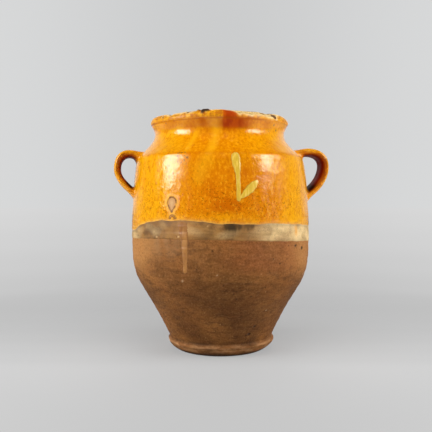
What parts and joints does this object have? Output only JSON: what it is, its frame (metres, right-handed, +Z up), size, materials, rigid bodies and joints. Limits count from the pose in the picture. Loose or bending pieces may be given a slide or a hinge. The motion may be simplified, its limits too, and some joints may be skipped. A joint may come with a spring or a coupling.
{
  "type": "two-handled glazed storage jar",
  "caption": "Thrown earthenware storage jar with ear handles, a footed cone-shaped base, a flared neck with a rolled lip, and ochre glaze over its upper half.",
  "frame": {"origin": "middle of the foot's flat underside, on the surface that the jar stands on", "axes": "+Z up along the axis on which the jar was thrown; the handles stand out along -X and +X; -Y is the front, which carries the brushed mark"},
  "size_m": [0.2747, 0.2242, 0.2904],
  "materials": {
    "fired_clay": "matte unglazed terracotta with throwing marks",
    "glazed_strap": "glossy ochre glaze, darker where it thins over the edges",
    "slip": "matte pale slip, scorched in places",
    "ochre_glaze": "glossy ochre lead glaze with brown specks",
    "lining_glaze": "glossy amber glaze",
    "straw_slip": "brushed straw-yellow slip under a thin glaze",
    "run_glaze": "thin tan glaze run"
  },
  "bodies": {
    "root": {"pot_body": "fired_clay", "handle_left": "glazed_strap", "handle_right": "glazed_strap", "slip_coat": "slip", "outer_glaze": "ochre_glaze", "inner_glaze": "lining_glaze", "brush_mark": "straw_slip", "glaze_run": "run_glaze"}
  },
  "joints": []
}
